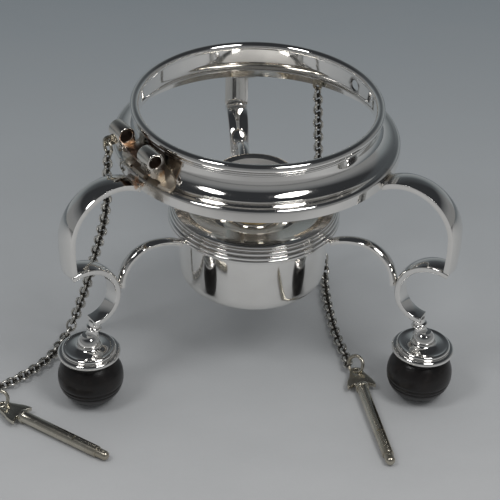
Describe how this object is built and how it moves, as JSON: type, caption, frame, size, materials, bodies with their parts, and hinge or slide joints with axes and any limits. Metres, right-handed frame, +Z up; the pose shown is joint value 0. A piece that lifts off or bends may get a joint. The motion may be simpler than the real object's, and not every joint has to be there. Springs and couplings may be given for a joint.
{
  "type": "spirit kettle stand",
  "caption": "Low footed stand for a table kettle: round collar with a hinge, scrolled legs, wood ball feet, lift-out spirit burner and chained locking pins.",
  "frame": {"origin": "on the collar's axis, level with the hinge pin's axis, inside the collar's upright wall", "axes": "+Z up along the collar's axis, -Y towards the front, the back leg towards +Y"},
  "size_m": [0.2259, 0.2042, 0.134],
  "materials": {
    "polished_silver": "polished silver plate with fine wear",
    "solder_tarnished_silver": "polished silver with brown solder tarnish in the corners",
    "worn_silver": "worn, yellowish silver plate",
    "chain_silver": "worn silver chain, dark between the links",
    "turned_wood": "satin dark stained wood with turned rings",
    "brass_nut": "dull brass",
    "brass_fitting": "satin brass",
    "cotton_wick": "woven cotton"
  },
  "bodies": {
    "stand": {"collar": "polished_silver", "collar_bead": "polished_silver", "collar_reeds": "polished_silver", "hinge_leaf_near": "solder_tarnished_silver", "hinge_leaf_far": "solder_tarnished_silver", "hinge_bridge": "solder_tarnished_silver", "hinge_knuckle_near": "solder_tarnished_silver", "hinge_knuckle_far": "solder_tarnished_silver", "chain_eye_left": "worn_silver", "chain_eye_right": "worn_silver", "chain_link_left": "worn_silver", "leg_upper_back": "polished_silver", "leg_upper_left": "polished_silver", "leg_upper_right": "polished_silver", "leg_lower_back": "polished_silver", "leg_lower_left": "polished_silver", "leg_lower_right": "polished_silver", "burner_arm_back": "polished_silver", "burner_arm_left": "polished_silver", "burner_arm_right": "polished_silver", "foot_cap_back": "polished_silver", "foot_cap_left": "polished_silver", "foot_cap_right": "polished_silver", "foot_ball_back": "turned_wood", "foot_ball_left": "turned_wood", "foot_ball_right": "turned_wood", "foot_stud_back": "polished_silver", "foot_stud_left": "polished_silver", "foot_stud_right": "polished_silver", "foot_nut_back": "brass_nut", "foot_nut_left": "brass_nut", "foot_nut_right": "brass_nut", "burner_holder": "polished_silver", "chain_left": "chain_silver", "chain_right": "chain_silver", "pin_left": "worn_silver", "pin_right": "worn_silver", "thumb_plate_left": "worn_silver", "thumb_plate_right": "worn_silver", "pin_ring_left": "worn_silver", "pin_ring_right": "worn_silver"},
    "burner": {"burner_pot": "polished_silver", "burner_rim": "polished_silver", "burner_top": "polished_silver", "wick_tube": "brass_fitting", "wick": "cotton_wick"},
    "snuffer": {"snuffer_cap": "polished_silver", "snuffer_top": "polished_silver"}
  },
  "joints": [
    {"name": "burner_lift", "type": "slide", "parent": "stand", "child": "burner", "axis": [0, 0, 1], "range_m": [0, 0.11]},
    {"name": "snuffer_lift", "type": "slide", "parent": "burner", "child": "snuffer", "axis": [0, 0, 1], "range_m": [0, 0.06]}
  ]
}
